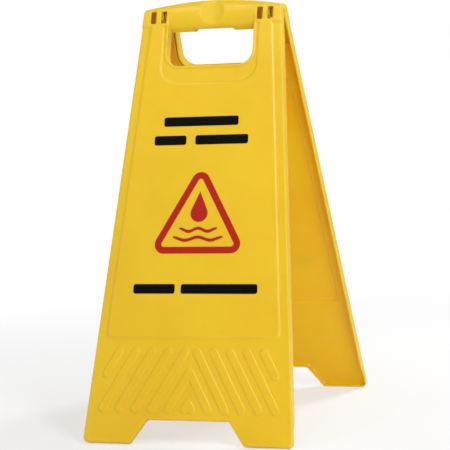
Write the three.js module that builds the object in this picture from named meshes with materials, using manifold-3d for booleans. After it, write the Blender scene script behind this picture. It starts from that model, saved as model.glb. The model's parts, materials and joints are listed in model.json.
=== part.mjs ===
// Folding floor safety sign: two thin-walled plastic leaves that hinge inside a rounded carrying handle.
//
// Millimetres, +Z up. The floor is z = 0, the hinge axis runs along X over the origin, and the front
// leaf faces -Y. The sign stands open. Each leaf is shaped in its own upright frame first: X runs across,
// Z up from the hinge axis, and -Y outwards from the plane where the two folded leaves meet. Sizes on a
// leaf are given as "across" (X), "down" (-Z) and "out" (-Y).

import * as THREE from "three";
import { mergeVertices } from "three/addons/utils/BufferGeometryUtils.js";
import Module from "manifold-3d";

// Stance
const LEAN = THREE.MathUtils.degToRad(18.7); // each leaf, from upright
const SEAM = 0.3; // half of the gap between the folded leaves

// Leaf outline
const LEG = 614; // hinge axis down to the feet
const HALF_AT_AXIS = 102.6;
const SPREAD = 0.078; // half width gained per mm down
const FOOT_CORNER = 7;
const NOTCH = { top: 580.8, halfTop: 59, halfFoot: 82, corner: 5 };
const CROWN = 20.4; // handle top above the axis, at the centre
const CROWN_DROP = 10.1; // how much lower the arched top is at CROWN_SPAN from the centre
const CROWN_SPAN = 95;
const CAP_CORNER = 9;

// Skin and flanges
const WALL = 2.5;
const FACE_OUT = 15.5;
const FACE_EDGE = 1.8;
const FIELD_OUT = 17.5; // raised print field, and the flat cap above it
const FIELD_EDGE = 1.9;
const FIELD_SLOPE = 3.4; // how far across its edge slopes
const FOOT_OUT = 6.2; // where the shallow flange round the feet and the notch ends
const FOOT_TAPER = [574, 592];

// Raised print field, the recess round the hand hole, and the hand hole
const FIELD = { halfAtAxis: 90.6, top: 10, bottom: 470.5, corner: 9 };
const RECESS = { half: 72, top: 19, bottom: 106, corner: 26, slope: 1.9 };
const HOLE = { half: 64, bottom: 79.8, corner: 20 };
const LIP = 3;
const LIP_OUT = 17.4;
const CAP_FOOT = [18.6, 21.8]; // bevel where the cap steps down to the border

// Handle
const HANDLE_DOWN = 24.8;
const RELIEF = { half: 28.5, slope: 3, down: 21.4 };
const SCOOP = { radius: 38, depth: 4.8 };
const TOP_ROUNDNESS = 2.5; // superellipse exponents
const BOTTOM_ROUNDNESS = 2.2;

// Chevron ribs under the print field
const RIB = { radius: 5.2, rise: 1.5, first: 8.4, pitch: 23.9, slope: 0.56 };
const RIB_ENDS = { top: 487.5, bottom: 566.5, shortBottom: 518.6 };

// Inside: the hollow behind the print field and the stiffening ribs
const POCKET = { inset: 4.4, top: 109.5, bottom: 470, corner: 9, depth: 2.3 };
const STIFFENER = {
  thickness: 2,
  ringOffset: 5,
  ringOut: 3,
  uprightAcross: 87.2,
  uprightOut: 6,
  bottom: 104,
};
const CROSS_RIB = { down: 52, thickness: 1.8, out: 7 };

// Hinge: on each side a front knuckle runs between two rear ears, on one pin
const HINGE_ACROSS = 79.5;
const KNUCKLE = { half: 4.7, radius: 8.4 };
const EAR = { from: 5.7, to: 9.7, radius: 8.4 };
const PIN_RADIUS = 2.5;
const PIN_HALF = 10.2;
const BORE_RADIUS = 2.85;
const WINDOW = { top: -2.4, bottom: 15.1, half: 3.9 };

const FAR = 400; // beyond the sign in any direction
const SKIN_OVERLAP = 0.5; // how deep a joined feature reaches into the skin it stands on
const ARC_STEPS = 4; // a rounded corner gets twice as many facets
const YELLOW = 0xf3c325;

const wasm = await Module();
wasm.setup();

// ---------------------------------------------------------------- solids

function solid(geometry) {
  geometry.deleteAttribute("normal");
  geometry.deleteAttribute("uv");
  const merged = mergeVertices(geometry, 1e-4);
  return new wasm.Manifold(
    new wasm.Mesh({
      numProp: 3,
      vertProperties: new Float32Array(merged.attributes.position.array),
      triVerts: new Uint32Array(merged.index.array),
    }),
  );
}

function toGeometry(manifold) {
  const mesh = manifold.getMesh();
  const geometry = new THREE.BufferGeometry();
  geometry.setAttribute("position", new THREE.BufferAttribute(mesh.vertProperties, 3));
  geometry.setIndex(new THREE.BufferAttribute(mesh.triVerts, 1));
  geometry.computeVertexNormals();
  return geometry;
}

const joined = (solids) => solids.reduce((whole, part) => whole.add(part));

// A box between two values on each of a leaf's measures.
function block([left, right], [top, bottom], [inner, outer]) {
  const geometry = new THREE.BoxGeometry(right - left, outer - inner, bottom - top);
  geometry.translate((left + right) / 2, -(inner + outer) / 2, -(top + bottom) / 2);
  return solid(geometry);
}

// ---------------------------------------------------------------- outlines

// Counter-clockwise corners [x, y, radius] as a closed shape with rounded corners.
function rounded(corners) {
  const shape = new THREE.Shape();
  corners.forEach(([x, y, radius = 0], i) => {
    const corner = new THREE.Vector2(x, y);
    const back = new THREE.Vector2(...corners.at(i - 1)).sub(corner).normalize();
    const ahead = new THREE.Vector2(...corners[(i + 1) % corners.length]).sub(corner).normalize();
    if (radius <= 0) {
      if (i === 0) shape.moveTo(x, y);
      else shape.lineTo(x, y);
      return;
    }
    const halfAngle = Math.acos(back.dot(ahead)) / 2;
    const start = corner.clone().addScaledVector(back, radius / Math.tan(halfAngle));
    const end = corner.clone().addScaledVector(ahead, radius / Math.tan(halfAngle));
    const inwards = back.clone().add(ahead).normalize();
    const centre = inwards.multiplyScalar(radius / Math.sin(halfAngle)).add(corner);
    const from = start.sub(centre).angle();
    const to = end.sub(centre).angle();
    shape.absarc(centre.x, centre.y, radius, from, to, back.cross(ahead) > 0);
  });
  shape.closePath();
  return shape;
}

// The same corners with every edge moved inwards.
function inset(corners, distance) {
  return corners.map(([x, y, radius = 0], i) => {
    const corner = new THREE.Vector2(x, y);
    const arriving = corner.clone().sub(new THREE.Vector2(...corners.at(i - 1))).normalize();
    const leaving = new THREE.Vector2(...corners[(i + 1) % corners.length]).sub(corner).normalize();
    const turn = arriving.cross(leaving);
    const bisector = new THREE.Vector2(-arriving.y - leaving.y, arriving.x + leaving.x).normalize();
    const reach = distance / (bisector.y * arriving.x - bisector.x * arriving.y);
    corner.addScaledVector(bisector, reach);
    return [corner.x, corner.y, radius > 0 ? Math.max(radius - Math.sign(turn) * distance, 0) : 0];
  });
}

const mirrored = (right) => [...right, ...right.map(([x, y, r]) => [-x, y, r]).reverse()];
const halfWidth = (down) => HALF_AT_AXIS + SPREAD * down;
const crown = (across) => CROWN - CROWN_DROP * (across / CROWN_SPAN) ** 2;

function leafCorners() {
  const arch = [0.8, 0.6, 0.4, 0.2].map((part) => [part * HALF_AT_AXIS, crown(part * HALF_AT_AXIS), 0]);
  return mirrored([
    [NOTCH.halfTop, -NOTCH.top, NOTCH.corner],
    [NOTCH.halfFoot, -LEG, NOTCH.corner],
    [halfWidth(LEG), -LEG, FOOT_CORNER],
    [halfWidth(-crown(HALF_AT_AXIS)), crown(HALF_AT_AXIS), CAP_CORNER],
    ...arch,
  ]);
}

function fieldCorners(top, bottom, narrower, corner, topCorner) {
  const half = (down) => FIELD.halfAtAxis + SPREAD * down - narrower;
  return mirrored([
    [half(bottom), -bottom, corner],
    [half(top), -top, topCorner],
  ]);
}

function handHoleCorners(grow) {
  return mirrored([
    [HOLE.half + grow, -HOLE.bottom - grow, HOLE.corner + grow],
    [HOLE.half + grow, 0, 0],
  ]);
}

// ---------------------------------------------------------------- extrusions

// A plate with the given outline across the leaf, between two distances out. Its edges are bevelled by edge
// outwards and by slope across.
function plate(shape, inner, outer, edge = 0, bevelSegments = 1, slope = edge) {
  const geometry = new THREE.ExtrudeGeometry(shape, {
    depth: outer - inner - 2 * edge,
    curveSegments: ARC_STEPS,
    bevelEnabled: edge > 0,
    bevelThickness: edge,
    bevelSize: slope,
    bevelOffset: -slope,
    bevelSegments,
  });
  geometry.translate(0, 0, inner + edge);
  geometry.rotateX(Math.PI / 2);
  return solid(geometry);
}

// A section of [out, down] points swept straight across the leaf.
function sweep(section, left, right, steps = 1) {
  return solid(sweepGeometry(section, left, right, steps));
}

function sweepGeometry(section, left, right, steps) {
  const shape = new THREE.Shape(section.map(([out, down]) => new THREE.Vector2(-out, -down)));
  const geometry = new THREE.ExtrudeGeometry(shape, { depth: right - left, steps, bevelEnabled: false });
  geometry.translate(0, 0, left);
  const toLeaf = new THREE.Matrix4().makeBasis(
    new THREE.Vector3(0, 1, 0),
    new THREE.Vector3(0, 0, 1),
    new THREE.Vector3(1, 0, 0),
  );
  return geometry.applyMatrix4(toLeaf);
}

// Quarter of a superellipse from straight out to straight down (or up, for a negative drop). It reaches
// a little past the axis, so that the upper and lower halves overlap where they join.
function quarterSection(out, drop, exponent) {
  const steps = 9;
  const past = -Math.sign(drop) * SKIN_OVERLAP;
  const points = [[0, past], [out - SKIN_OVERLAP, past]];
  for (let i = 0; i <= steps; i += 1) {
    const angle = (i / steps) * (Math.PI / 2);
    const cosine = Math.max(Math.cos(angle), 0);
    points.push([out * cosine ** (2 / exponent), drop * Math.sin(angle) ** (2 / exponent)]);
  }
  return points;
}

// The rounded top of the cap, its height following the arch.
function capTop(thinner) {
  const height = CROWN - thinner;
  const section = quarterSection(FIELD_OUT - thinner, -height, TOP_ROUNDNESS);
  const geometry = sweepGeometry(section, -HALF_AT_AXIS - CAP_CORNER, HALF_AT_AXIS + CAP_CORNER, 14);
  const position = geometry.attributes.position;
  for (let i = 0; i < position.count; i += 1) {
    position.setZ(i, (position.getZ(i) * (crown(position.getX(i)) - thinner)) / height);
  }
  return solid(geometry);
}

function handleUnderside(thinner, half) {
  const section = quarterSection(FIELD_OUT - thinner, HANDLE_DOWN - thinner, BOTTOM_ROUNDNESS);
  const relief = RELIEF.half + thinner;
  const cut = rounded([
    [-relief - RELIEF.slope, -HANDLE_DOWN - thinner],
    [relief + RELIEF.slope, -HANDLE_DOWN - thinner],
    [relief, thinner - RELIEF.down],
    [-relief, thinner - RELIEF.down],
  ]);
  return sweep(section, -half, half).subtract(plate(cut, -SEAM, FIELD_OUT));
}

function scoop(thinner) {
  const height = 2 * (HANDLE_DOWN + thinner);
  const geometry = new THREE.CylinderGeometry(SCOOP.radius + thinner, SCOOP.radius + thinner, height, 72);
  geometry.rotateX(Math.PI / 2);
  geometry.translate(0, -(FIELD_OUT - SCOOP.depth + SCOOP.radius), 0);
  return solid(geometry);
}

// ---------------------------------------------------------------- one leaf

function outerForm() {
  const profile = leafCorners();
  const below = block([-FAR, FAR], [0, 2 * FAR], [-FAR, FAR]);
  const slab = plate(rounded(profile), -FAR, FACE_OUT, FACE_EDGE, 2).intersect(below);
  const field = plate(rounded(fieldCorners(FIELD.top, FIELD.bottom, 0, FIELD.corner, 0)),
    FACE_OUT - WALL, FIELD_OUT, FIELD_EDGE, 1, FIELD_SLOPE);
  const capFlat = sweep([[0, 0], [FIELD_OUT, 0], [FIELD_OUT, CAP_FOOT[0]], [FACE_OUT, CAP_FOOT[1]],
    [0, CAP_FOOT[1]]], -FAR, FAR);
  const cap = capTop(0).add(capFlat).intersect(plate(rounded(profile), -SEAM, FIELD_OUT + FACE_EDGE));
  const recess = plate(rounded(mirrored([
    [RECESS.half, -RECESS.bottom, RECESS.corner],
    [RECESS.half, -RECESS.top, 0],
  ])), FACE_OUT, FIELD_OUT + 2 * RECESS.slope, RECESS.slope);
  const lip = plate(rounded(handHoleCorners(LIP)), FACE_OUT - WALL, LIP_OUT, 0.9);
  const hole = plate(rounded(handHoleCorners(0)), -FAR, FAR);
  return joined([slab, field, cap])
    .subtract(recess)
    .add(lip)
    .subtract(hole)
    .add(handleUnderside(0, HOLE.half + SKIN_OVERLAP))
    .subtract(scoop(0));
}

function innerHollow() {
  const profile = inset(leafCorners(), WALL);
  const below = block([-FAR, FAR], [0, 2 * FAR], [-FAR, FAR]);
  const behindFace = plate(rounded(profile), -FAR, FACE_OUT - WALL, FACE_EDGE).intersect(below);
  const holeWall = plate(rounded(handHoleCorners(WALL)), -FAR, FAR);
  const behindCap = sweep([[0, 0], [FIELD_OUT - WALL, 0], [FIELD_OUT - WALL, CAP_FOOT[0] - WALL],
    [0, CAP_FOOT[0] - WALL]], -FAR, FAR).subtract(holeWall);
  const capInside = capTop(WALL).add(behindCap).intersect(plate(rounded(profile), -SEAM, FIELD_OUT));
  const pocketCorners = fieldCorners(POCKET.top, POCKET.bottom, POCKET.inset, FIELD.corner, POCKET.corner);
  const pocket = plate(rounded(pocketCorners), 0, FACE_OUT - WALL + POCKET.depth, POCKET.depth);
  const handlePassage = handleUnderside(WALL, HOLE.half + 2 * WALL);
  return joined([behindFace, pocket])
    .subtract(holeWall)
    .add(capInside)
    .add(handlePassage)
    .subtract(scoop(WALL));
}

// Raised ribs with round ends, mirrored about the centre line, the inner two pairs meeting as chevrons.
function chevronRibs() {
  const ribs = [];
  for (let i = -2; i <= 4; i += 1) {
    const start = RIB.first + RIB.pitch * i;
    const meets = RIB_ENDS.top - start / RIB.slope;
    const from = start < 0 ? meets : RIB_ENDS.top;
    const to = i === 4 ? RIB_ENDS.shortBottom : RIB_ENDS.bottom;
    for (const side of [-1, 1]) {
      const at = (down) => [side * (start + RIB.slope * (down - RIB_ENDS.top)), -down];
      ribs.push(plate(capsule(at(from), at(to), RIB.radius), FACE_OUT - SKIN_OVERLAP, FACE_OUT + RIB.rise));
    }
  }
  return joined(ribs);
}

function capsule([x0, y0], [x1, y1], radius) {
  const angle = Math.atan2(y1 - y0, x1 - x0);
  const shape = new THREE.Shape();
  shape.absarc(x1, y1, radius, angle - Math.PI / 2, angle + Math.PI / 2);
  shape.absarc(x0, y0, radius, angle + Math.PI / 2, angle + (3 * Math.PI) / 2);
  shape.closePath();
  return shape;
}

// Inside walls: one runs round the hand hole, one down each upright, and one short rib braces the flange.
function stiffeners() {
  const root = FACE_OUT - WALL + SKIN_OVERLAP;
  const { thickness, ringOffset, ringOut, uprightAcross, uprightOut, bottom } = STIFFENER;
  const belowCap = block([-FAR, FAR], [CAP_FOOT[1], FAR], [-FAR, FAR]);
  const ring = plate(rounded(handHoleCorners(ringOffset + thickness)), ringOut, root)
    .subtract(plate(rounded(handHoleCorners(ringOffset)), -FAR, FAR))
    .intersect(belowCap);
  const braces = [-1, 1].flatMap((side) => [
    block(span(side, uprightAcross - thickness / 2, uprightAcross + thickness / 2),
      [CAP_FOOT[1], bottom], [uprightOut, root]),
    block(span(side, uprightAcross, halfWidth(CROSS_RIB.down) - WALL / 2),
      [CROSS_RIB.down - CROSS_RIB.thickness / 2, CROSS_RIB.down + CROSS_RIB.thickness / 2],
      [CROSS_RIB.out, root]),
  ]);
  return joined([ring, ...braces]);
}

const span = (side, near, far) => (side > 0 ? [near, far] : [-far, -near]);

// What the flange loses: everything behind the seam, the top where the open leaves meet, and the feet.
function trim() {
  const rise = 2 * CROWN;
  const seam = sweep([[-FAR, -rise], [SEAM + rise * Math.tan(LEAN), -rise], [SEAM, 0], [SEAM, 2 * FAR],
    [-FAR, 2 * FAR]], -FAR, FAR);
  const feet = sweep([[-FAR, FOOT_TAPER[0]], [SEAM, FOOT_TAPER[0]], [FOOT_OUT, FOOT_TAPER[1]],
    [FOOT_OUT, 2 * FAR], [-FAR, 2 * FAR]], -FAR, FAR);
  const notchDown = [NOTCH.top - 2 * NOTCH.corner, 2 * FAR];
  const notch = block([-NOTCH.halfFoot, NOTCH.halfFoot], notchDown, [-FAR, FOOT_OUT]);
  return joined([seam, feet, notch]);
}

// A round hinge lug with a web back to the skin.
function lug(left, right, radius) {
  const geometry = new THREE.CylinderGeometry(radius, radius, right - left, 32);
  geometry.rotateZ(Math.PI / 2);
  geometry.translate((left + right) / 2, 0, 0);
  return solid(geometry).add(block([left, right], [1 - radius, radius], [0, FIELD_OUT - WALL / 2]));
}

function pinBore() {
  const geometry = new THREE.CylinderGeometry(BORE_RADIUS, BORE_RADIUS, 2 * FAR, 24);
  geometry.rotateZ(Math.PI / 2);
  return solid(geometry);
}

// Each lug gets a place [from, to] measured from HINGE_ACROSS, and so does each window.
function leaf(lugs, lugRadius, windows) {
  const bothSides = ([from, to]) => [-1, 1].map((side) => span(side, HINGE_ACROSS + from, HINGE_ACROSS + to));
  const openings = windows.flatMap(bothSides)
    .map((across) => block(across, [WINDOW.top, WINDOW.bottom], [FACE_OUT - 2 * WALL, FAR]));
  return joined([outerForm(), chevronRibs()])
    .subtract(innerHollow())
    .add(stiffeners())
    .subtract(trim())
    .add(joined(lugs.flatMap(bothSides).map(([left, right]) => lug(left, right, lugRadius))))
    .subtract(joined(openings))
    .subtract(pinBore());
}

// ---------------------------------------------------------------- the sign

function piece(name, geometry, material) {
  const mesh = new THREE.Mesh(geometry, material);
  mesh.name = name;
  return mesh;
}

const plastic = () => new THREE.MeshStandardMaterial({ color: YELLOW, roughness: 0.45, metalness: 0 });
const hingeHeight = LEG * Math.cos(LEAN) - FOOT_OUT * Math.sin(LEAN);

const knucklePlace = [-KNUCKLE.half, KNUCKLE.half];
const earPlaces = [[-EAR.to, -EAR.from], [EAR.from, EAR.to]];
const earMiddle = (EAR.from + EAR.to) / 2;
const frontWindows = [-earMiddle, earMiddle].map((at) => [at - WINDOW.half, at + WINDOW.half]);
const rearWindows = [[-WINDOW.half, WINDOW.half]];

const sign = new THREE.Group();

const frontLeaf = new THREE.Group();
frontLeaf.position.z = hingeHeight;
frontLeaf.rotation.x = -LEAN;
const frontShape = toGeometry(leaf([knucklePlace], KNUCKLE.radius, frontWindows));
frontLeaf.add(piece("front_panel", frontShape, plastic()));
sign.add(frontLeaf);

const rearLeaf = new THREE.Group();
rearLeaf.position.z = hingeHeight;
rearLeaf.rotation.set(LEAN, 0, Math.PI);
rearLeaf.add(piece("rear_panel", toGeometry(leaf(earPlaces, EAR.radius, rearWindows)), plastic()));
sign.add(rearLeaf);

const steel = new THREE.MeshStandardMaterial({ color: 0xb8babd, roughness: 0.35, metalness: 1 });
for (const [name, side] of [["hinge_pin_left", -1], ["hinge_pin_right", 1]]) {
  const chamfer = 0.5;
  const profile = [[0, -PIN_HALF], [PIN_RADIUS - chamfer, -PIN_HALF], [PIN_RADIUS, chamfer - PIN_HALF],
    [PIN_RADIUS, PIN_HALF - chamfer], [PIN_RADIUS - chamfer, PIN_HALF], [0, PIN_HALF]];
  const pin = piece(name, new THREE.LatheGeometry(profile.map((p) => new THREE.Vector2(...p)), 24), steel);
  pin.rotation.z = Math.PI / 2;
  pin.position.set(side * HINGE_ACROSS, 0, hingeHeight);
  sign.add(pin);
}

export default sign;
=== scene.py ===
"""Folding wet floor sign: moulded plastic leaves with printed panels, and a small studio."""

import json
import math

import bmesh
import bpy
from mathutils import Matrix, Vector


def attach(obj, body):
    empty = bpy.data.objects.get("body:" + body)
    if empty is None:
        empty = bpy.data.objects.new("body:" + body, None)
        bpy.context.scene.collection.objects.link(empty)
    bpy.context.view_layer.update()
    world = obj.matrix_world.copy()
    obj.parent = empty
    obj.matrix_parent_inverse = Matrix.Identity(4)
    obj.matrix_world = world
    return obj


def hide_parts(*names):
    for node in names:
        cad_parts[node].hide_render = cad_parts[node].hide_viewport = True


MM = 0.001

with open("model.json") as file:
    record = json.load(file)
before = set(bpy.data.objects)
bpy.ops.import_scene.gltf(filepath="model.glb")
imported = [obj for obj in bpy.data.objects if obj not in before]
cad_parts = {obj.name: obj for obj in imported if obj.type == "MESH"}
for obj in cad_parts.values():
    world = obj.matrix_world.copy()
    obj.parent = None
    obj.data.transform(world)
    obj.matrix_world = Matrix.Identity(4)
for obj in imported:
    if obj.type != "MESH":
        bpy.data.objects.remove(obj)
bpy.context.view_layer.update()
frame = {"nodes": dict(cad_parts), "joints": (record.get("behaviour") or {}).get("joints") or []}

fold = frame["joints"][0]
HINGE = Vector(fold["pos_m"])
LEAN = math.radians(fold["range_deg"][1] / 2)

# The print, in mm on a leaf's raised field: across from the centre line, down from the hinge axis
FIELD_OUT = 17.5
INK_SUNK = 0.2
INK_PROUD = 0.12
BAR_HEIGHT = 13.5
BAR_CORNER = 3.2
BARS = [
    (-60.0, 50.0, 162.0),
    (-72.7, -25.4, 189.0),
    (-12.0, 65.4, 189.0),
    (-89.7, -28.8, 400.5),
    (-20.0, 90.5, 400.5),
]
TRIANGLE = {"half": 71.8, "top": 221.0, "bottom": 351.0, "corner": 13.5, "stroke": 9.6}
DROP = {"tip": 263.0, "centre": 294.0, "radius": 12.5}
RIPPLES = [(28.0, 317.5), (37.0, 330.0)]
RIPPLE = {"thickness": 4.6, "swing": 2.2, "waves": 2}

# Rounding of the moulded leaves
WELD = 0.001  # mm
VOXEL = 0.8  # mm
SMOOTHING = {"factor": 0.5, "passes": 6}
KEPT_FACES = 0.165

# Colours
YELLOW = [(0.835, 0.54, 0.008, 1), (0.87, 0.585, 0.011, 1)]
# painted highlight: pale yellow laid along convex edges
EDGE_HIGHLIGHT_YELLOW = (0.95, 0.74, 0.10, 1)
# painted shade: deeper orange laid in concave creases and inner corners
CREASE_SHADE_ORANGE = (0.70, 0.36, 0.006, 1)
GLOW_DEPTH = (0.006, 0.0025, 0.0003)  # how far red, green and blue light run in the plastic, in metres
BLACK = [(0.001, 0.001, 0.001, 1), (0.005, 0.005, 0.005, 1)]
RED = [(0.42, 0.018, 0.012, 1), (0.50, 0.026, 0.016, 1)]
GREY = [(0.42, 0.43, 0.44, 1), (0.62, 0.63, 0.64, 1)]
PAPER = [(0.90, 0.90, 0.90, 1), (0.92, 0.92, 0.92, 1)]

# Studio, in metres and watts
FLOOR_HALF = 40.0
PAPER_FADE = {"start": 0.25, "end": 1.2, "low": 0.55, "high": 1.0}
ROOM_LIGHT = 0.44
SIGN_MIDDLE = (0, 0, 0.3)
HANDLE = (0, 0, 0.6)
LIGHTS = {
    "key": {"place": (1.9, -1.7, 2.1), "target": SIGN_MIDDLE, "size": 0.8, "power": 26.5},
    "fill": {"place": (-2.4, -2.0, 0.9), "target": SIGN_MIDDLE, "size": 1.8, "power": 6.5},
    "side": {"place": (1.7, -2.1, 0.5), "target": SIGN_MIDDLE, "size": 0.6, "power": 9.5},
    "handle": {"place": (-0.27, -0.5, 1.24), "target": HANDLE, "size": 0.25, "power": 1.0},
    "scoop": {"place": (0.06, -0.57, 1.24), "target": HANDLE, "size": 0.25, "power": 0.9},
    "back": {"place": (0.5, 0.8, 1.1), "target": (0.05, 0.1, 0.45), "size": 0.4, "power": 8.0},
}
UNSEEN_IN_SHINE = "back"  # lights the rear leaf through its wall, and makes no highlights
CAMERA = {
    "place": (0.8091, -2.421, 0.5536),
    "yaw": 18.48,
    "pitch": 5.96,
    "roll": -2.63,
    "lens": 142.08,
    "shift": (0.0008, -0.0151),
    "range": (0.1, 100),
}

# ---------------------------------------------------------------- places


def leaf_matrix(facing):
    """From a leaf's own millimetres (across, up, out) to the frame.

    Facing is -1 for the front leaf and 1 for the rear.
    """
    across = Vector((-facing, 0, 0))
    up = Vector((0, -facing * math.sin(LEAN), math.cos(LEAN)))
    out = Vector((0, facing * math.cos(LEAN), math.sin(LEAN)))
    turn = Matrix((across, up, out)).transposed().to_4x4()
    return Matrix.Translation(HINGE) @ turn @ Matrix.Scale(MM, 4)


LEAVES = {
    "front": {"body": "front_leaf", "node": "front_panel", "place": leaf_matrix(-1)},
    "rear": {"body": "rear_leaf", "node": "rear_panel", "place": leaf_matrix(1)},
}


def add_object(name, data):
    made = bpy.data.objects.new(name, data)
    bpy.context.scene.collection.objects.link(made)
    return made


# ---------------------------------------------------------------- materials


class Nodes:
    """A material's node tree, with short calls for the nodes used here."""

    def __init__(self, name):
        self.material = bpy.data.materials.new(name)
        self.material.use_nodes = True
        self.tree = self.material.node_tree
        self.surface = self.tree.nodes["Principled BSDF"]

    def add(self, kind, **inputs):
        node = self.tree.nodes.new(kind)
        for key, value in inputs.items():
            self.feed(node, key.replace("_", " "), value)
        return node

    def feed(self, node, key, value):
        socket = node.inputs[key]
        if isinstance(value, bpy.types.NodeSocket):
            self.tree.links.new(value, socket)
        else:
            socket.default_value = value

    def noise(self, scale, detail=2.0, stretch=(1, 1, 1)):
        """Noise with about scale blotches per metre; stretch is the scale along each axis."""
        place = self.tree.nodes.new("ShaderNodeTexCoord").outputs["Object"]
        mapping = self.add("ShaderNodeMapping", Vector=place, Scale=stretch)
        noise = self.add("ShaderNodeTexNoise", Vector=mapping.outputs[0], Scale=scale, Detail=detail)
        return noise.outputs["Fac"]

    def ramp(self, value, start, end, low, high):
        """low where value is at start, high where it is at end, and clamped outside."""
        limits = {"From Min": start, "From Max": end, "To Min": low, "To Max": high}
        node = self.add("ShaderNodeMapRange", Value=value)
        for key, number in limits.items():
            node.inputs[key].default_value = number
        return node.outputs[0]

    def spread(self, value, low, high):
        """Maps the middle band, where a noise texture mostly lies, to low..high."""
        return self.ramp(value, 0.35, 0.65, low, high)

    def combine(self, operation, first, second):
        node = self.tree.nodes.new("ShaderNodeMath")
        node.operation = operation
        self.tree.links.new(first, node.inputs[0])
        self.tree.links.new(second, node.inputs[1])
        return node.outputs[0]

    def mix(self, amount, first, second):
        node = self.tree.nodes.new("ShaderNodeMix")
        node.data_type = "RGBA"
        for socket, value in ((0, amount), (6, first), (7, second)):  # the node's factor and its two colours
            self.feed(node, socket, value)
        return node.outputs[2]

    def bump(self, height, strength, distance, below=None):
        node = self.add("ShaderNodeBump", Height=height, Strength=strength, Distance=distance)
        if below is not None:
            self.feed(node, "Normal", below)
        return node.outputs[0]

    def finish(self, **inputs):
        for key, value in inputs.items():
            self.feed(self.surface, key.replace("_", " "), value)
        return self.material


def yellow_plastic():
    """Injection-moulded polypropylene with a satin sheen.

    Even yellow with faint flow clouds, lightened along convex edges as a painted highlight, darkened towards
    orange in its inner corners as painted shade, with a fine grain and a few rubbed streaks.
    """
    nodes = Nodes("yellow_plastic")
    clouds = nodes.spread(nodes.noise(9.0, detail=3.0), 0.0, 1.0)
    body = nodes.mix(clouds, *YELLOW)
    bend = nodes.tree.nodes.new("ShaderNodeNewGeometry").outputs["Pointiness"]
    # painted highlight: convex edges, found by pointiness, lightened towards pale yellow
    with_edge_highlight = nodes.mix(nodes.ramp(bend, 0.51, 0.57, 0.0, 0.5), body, EDGE_HIGHLIGHT_YELLOW)
    # painted shade: concave creases, found by pointiness, darkened towards orange
    colour = nodes.mix(nodes.ramp(bend, 0.49, 0.43, 0.0, 0.5), with_edge_highlight, CREASE_SHADE_ORANGE)
    ripple = nodes.bump(nodes.noise(45.0, detail=1.0), 0.2, 0.0006)
    grain = nodes.bump(nodes.noise(1500.0, detail=3.0), 0.3, 0.00012, ripple)
    rubbed = nodes.ramp(nodes.noise(130.0, detail=5.0, stretch=(1, 1, 0.12)), 0.56, 0.7, 0.0, -0.03)
    satin = nodes.spread(nodes.noise(160.0, detail=4.0), 0.3, 0.4)
    return nodes.finish(
        Base_Color=colour,
        Roughness=nodes.combine("ADD", satin, rubbed),
        IOR=1.49,
        Specular_IOR_Level=0.5,
        Subsurface_Weight=0.4,
        Subsurface_Radius=GLOW_DEPTH,
        Subsurface_Scale=1.0,
        Normal=grain,
    )


def ink(name, dark, light):
    """Screen-printed ink: slightly uneven coverage, and nearly matt."""
    nodes = Nodes(name)
    colour = nodes.mix(nodes.spread(nodes.noise(700.0, detail=4.0), 0.0, 1.0), dark, light)
    film = nodes.bump(nodes.noise(1500.0), 0.15, 0.00005)
    roughness = nodes.spread(nodes.noise(220.0), 0.42, 0.55)
    return nodes.finish(Base_Color=colour, Roughness=roughness, Specular_IOR_Level=0.06, Normal=film)


def drawn_steel():
    """Drawn steel rod: fine streaks along the pin."""
    nodes = Nodes("pin_steel")
    streaks = nodes.noise(900.0, detail=3.0, stretch=(0.03, 1, 1))
    colour = nodes.mix(nodes.spread(streaks, 0.0, 1.0), *GREY)
    return nodes.finish(
        Base_Color=colour,
        Metallic=1.0,
        Roughness=nodes.spread(streaks, 0.24, 0.4),
        Normal=nodes.bump(streaks, 0.2, 0.00005),
    )


def paper_white():
    """The studio floor: matt white paper that burns out to plain white away from the sign."""
    nodes = Nodes("studio_paper")
    away = nodes.tree.nodes.new("ShaderNodeVectorMath")
    away.operation = "LENGTH"
    nodes.tree.links.new(nodes.tree.nodes.new("ShaderNodeTexCoord").outputs["Object"], away.inputs[0])
    fade = nodes.ramp(away.outputs["Value"], *PAPER_FADE.values())
    seen = nodes.tree.nodes.new("ShaderNodeLightPath").outputs["Is Camera Ray"]
    burnt = nodes.mix(fade, nodes.mix(nodes.noise(3.0), *PAPER), (0, 0, 0, 1))
    return nodes.finish(
        Base_Color=nodes.mix(seen, PAPER[0], burnt),
        Roughness=0.9,
        Specular_IOR_Level=0.0,
        Emission_Color=(1, 1, 1, 1),
        Emission_Strength=nodes.combine("MULTIPLY", fade, seen),
    )


PLASTIC = yellow_plastic()
STEEL = drawn_steel()
BLACK_INK = ink("black_ink", *BLACK)
RED_INK = ink("red_ink", *RED)

# ---------------------------------------------------------------- outlines


def rounded_outline(corners, steps=10):
    """Counter-clockwise (x, y, radius) corners as points, each corner an arc of steps + 1 points."""
    points = []
    for i, (x, y, radius) in enumerate(corners):
        corner = Vector((x, y))
        back = (Vector(corners[i - 1][:2]) - corner).normalized()
        ahead = (Vector(corners[(i + 1) % len(corners)][:2]) - corner).normalized()
        half = back.angle(ahead) / 2
        centre = corner + (back + ahead).normalized() * (radius / math.sin(half))
        start = corner + back * (radius / math.tan(half)) - centre
        turn = math.pi - 2 * half
        for step in range(steps + 1):
            angle = turn * step / steps
            points.append(centre + Matrix.Rotation(angle, 2) @ start)
    return points


def bar_outline(left, right, down):
    half = BAR_HEIGHT / 2
    return rounded_outline([
        (left, -down - half, BAR_CORNER),
        (right, -down - half, BAR_CORNER),
        (right, -down + half, BAR_CORNER),
        (left, -down + half, BAR_CORNER),
    ])


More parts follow.
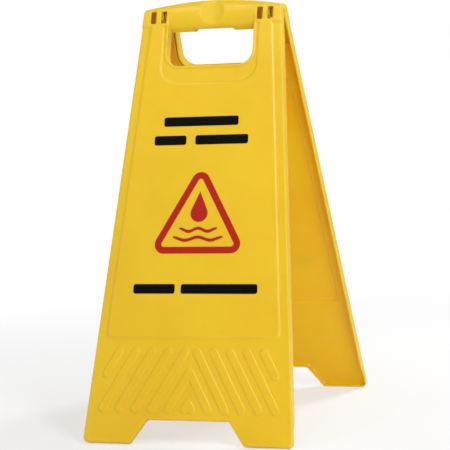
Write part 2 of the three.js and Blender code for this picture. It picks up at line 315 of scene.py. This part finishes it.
def triangle_outline(narrower):
    """The warning triangle's outline, every edge moved inwards."""
    half, top, bottom = TRIANGLE["half"], TRIANGLE["top"], TRIANGLE["bottom"]
    slant = math.atan2(half, bottom - top)
    radius = TRIANGLE["corner"] - narrower
    apex = top + narrower / math.sin(slant)
    foot = bottom - narrower
    reach = (foot - apex) * math.tan(slant)
    return rounded_outline([(-reach, -foot, radius), (reach, -foot, radius), (0, -apex, radius)])


def drop_outline(steps=36):
    """A falling drop: a circle whose top is drawn up to a point along its two tangents."""
    radius = DROP["radius"]
    rise = DROP["centre"] - DROP["tip"]
    touch = math.acos(radius / rise)
    points = [Vector((0, -DROP["tip"]))]
    for step in range(steps + 1):
        angle = math.pi / 2 + touch + (2 * math.pi - 2 * touch) * step / steps
        points.append(Vector((radius * math.cos(angle), radius * math.sin(angle) - DROP["centre"])))
    return points


def ripple_outline(half, down, steps=40):
    """A wavy band with pointed-round ends."""
    low, high = [], []
    for step in range(steps + 1):
        across = -half + 2 * half * step / steps
        wave = RIPPLE["swing"] * math.cos(across / half * math.pi * RIPPLE["waves"])
        taper = math.sqrt(max(1 - (across / half) ** 8, 0.02))
        low.append(Vector((across, wave - down - taper * RIPPLE["thickness"] / 2)))
        high.append(Vector((across, wave - down + taper * RIPPLE["thickness"] / 2)))
    return low + high[::-1]


# ---------------------------------------------------------------- the print


def add_film(bm, outline, hole=None):
    """A thin closed slab of ink on the field, with an outline and an optional hole of as many points."""
    low, high = FIELD_OUT - INK_SUNK, FIELD_OUT + INK_PROUD
    rings = [[bm.verts.new((p.x, p.y, level)) for p in outline] for level in (low, high)]
    if hole is None:
        bm.faces.new(rings[0][::-1])
        bm.faces.new(rings[1])
    else:
        inner = [[bm.verts.new((p.x, p.y, level)) for p in hole] for level in (low, high)]
        rings = [rings[0], rings[1], inner[1], inner[0]]
    pairs = [(0, 1)] if hole is None else [(0, 1), (1, 2), (2, 3), (3, 0)]
    count = len(outline)
    for a, b in pairs:
        for i in range(count):
            j = (i + 1) % count
            bm.faces.new((rings[a][i], rings[a][j], rings[b][j], rings[b][i]))


def print_piece(leaf, name, material, films):
    bm = bmesh.new()
    for film in films:
        add_film(bm, *film)
    bm.transform(LEAVES[leaf]["place"])
    mesh = bpy.data.meshes.new(name)
    bm.to_mesh(mesh)
    bm.free()
    mesh.materials.append(material)
    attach(add_object(name, mesh), LEAVES[leaf]["body"])


def print_leaf(leaf):
    print_piece(leaf, f"{leaf}_print_bars", BLACK_INK, [(bar_outline(*bar),) for bar in BARS])
    symbol = [(triangle_outline(0), triangle_outline(TRIANGLE["stroke"])), (drop_outline(),)]
    symbol += [(ripple_outline(*ripple),) for ripple in RIPPLES]
    print_piece(leaf, f"{leaf}_print_symbol", RED_INK, symbol)


# ---------------------------------------------------------------- the leaves and pins


def moulded(leaf):
    """The CAD panel with every edge and corner rounded as a mould rounds it, and the surface between kept."""
    node = frame["nodes"][LEAVES[leaf]["node"]]
    mesh = node.data.copy()
    mesh.transform(LEAVES[leaf]["place"].inverted())
    weld = bmesh.new()
    weld.from_mesh(mesh)
    bmesh.ops.remove_doubles(weld, verts=weld.verts, dist=WELD)
    weld.to_mesh(mesh)
    weld.free()
    rough = add_object(f"{leaf}_rough", mesh)
    remesh = rough.modifiers.new("remesh", "REMESH")
    remesh.mode = "VOXEL"
    remesh.voxel_size = VOXEL
    smooth = rough.modifiers.new("smooth", "SMOOTH")
    smooth.factor = SMOOTHING["factor"]
    smooth.iterations = SMOOTHING["passes"]
    thin = rough.modifiers.new("thin", "DECIMATE")
    thin.ratio = KEPT_FACES
    rough.modifiers.new("normals", "WEIGHTED_NORMAL")
    graph = bpy.context.evaluated_depsgraph_get()
    shaped = bpy.data.meshes.new_from_object(rough.evaluated_get(graph))
    bpy.data.objects.remove(rough)
    shaped.transform(LEAVES[leaf]["place"])
    shaped.shade_smooth()
    shaped.materials.clear()
    shaped.materials.append(PLASTIC)
    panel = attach(add_object(f"{leaf}_moulding", shaped), LEAVES[leaf]["body"])
    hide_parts(LEAVES[leaf]["node"])


def dress_pins():
    for name in ("hinge_pin_left", "hinge_pin_right"):
        node = frame["nodes"][name]
        node.data.materials.clear()
        node.data.materials.append(STEEL)


# ---------------------------------------------------------------- studio


def floor():
    sides = ((-1, -1), (1, -1), (1, 1), (-1, 1))
    corners = [(across * FLOOR_HALF, along * FLOOR_HALF, 0) for across, along in sides]
    mesh = bpy.data.meshes.new("studio_floor")
    mesh.from_pydata(corners, [], [(0, 1, 2, 3)])
    mesh.materials.append(paper_white())
    add_object("studio_floor", mesh)


def area_light(name, place, target, size, power):
    light = bpy.data.lights.new(name, "AREA")
    light.shape = "DISK"
    light.size = size
    light.energy = power
    lamp = add_object(name, light)
    lamp.location = place
    lamp.rotation_euler = (Vector(target) - Vector(place)).to_track_quat("-Z", "Y").to_euler()
    lamp.visible_glossy = name != UNSEEN_IN_SHINE


def studio():
    """Soft lights, and a plain white room that looks brighter than it lights."""
    for name, light in LIGHTS.items():
        area_light(name, **light)
    world = bpy.data.worlds.new("studio")
    bpy.context.scene.world = world
    world.use_nodes = True
    tree = world.node_tree
    background = tree.nodes["Background"]
    background.inputs["Color"].default_value = (1, 1, 1, 1)
    seen = tree.nodes.new("ShaderNodeLightPath").outputs["Is Camera Ray"]
    strength = tree.nodes.new("ShaderNodeMapRange")
    strength.inputs["To Min"].default_value = ROOM_LIGHT
    strength.inputs["To Max"].default_value = 1.0
    tree.links.new(seen, strength.inputs["Value"])
    tree.links.new(strength.outputs[0], background.inputs["Strength"])
    bpy.context.scene.view_settings.view_transform = "Standard"


def camera():
    """To the right of the sign, a little below its top, looking slightly down and tilted."""
    yaw, pitch, roll = (math.radians(CAMERA[key]) for key in ("yaw", "pitch", "roll"))
    forward = Vector((-math.sin(yaw) * math.cos(pitch), math.cos(yaw) * math.cos(pitch), -math.sin(pitch)))
    right = Vector((math.cos(yaw), math.sin(yaw), 0))
    up = right.cross(forward)
    turn = Matrix((right, up, -forward)).transposed() @ Matrix.Rotation(roll, 3, "Z")
    data = bpy.data.cameras.new("camera")
    data.lens = CAMERA["lens"]
    data.shift_x, data.shift_y = CAMERA["shift"]
    data.clip_start, data.clip_end = CAMERA["range"]
    made = add_object("camera", data)
    made.matrix_world = Matrix.Translation(CAMERA["place"]) @ turn.to_4x4()
    bpy.context.scene.camera = made


for each in LEAVES:
    moulded(each)
    print_leaf(each)
dress_pins()
floor()
studio()
camera()
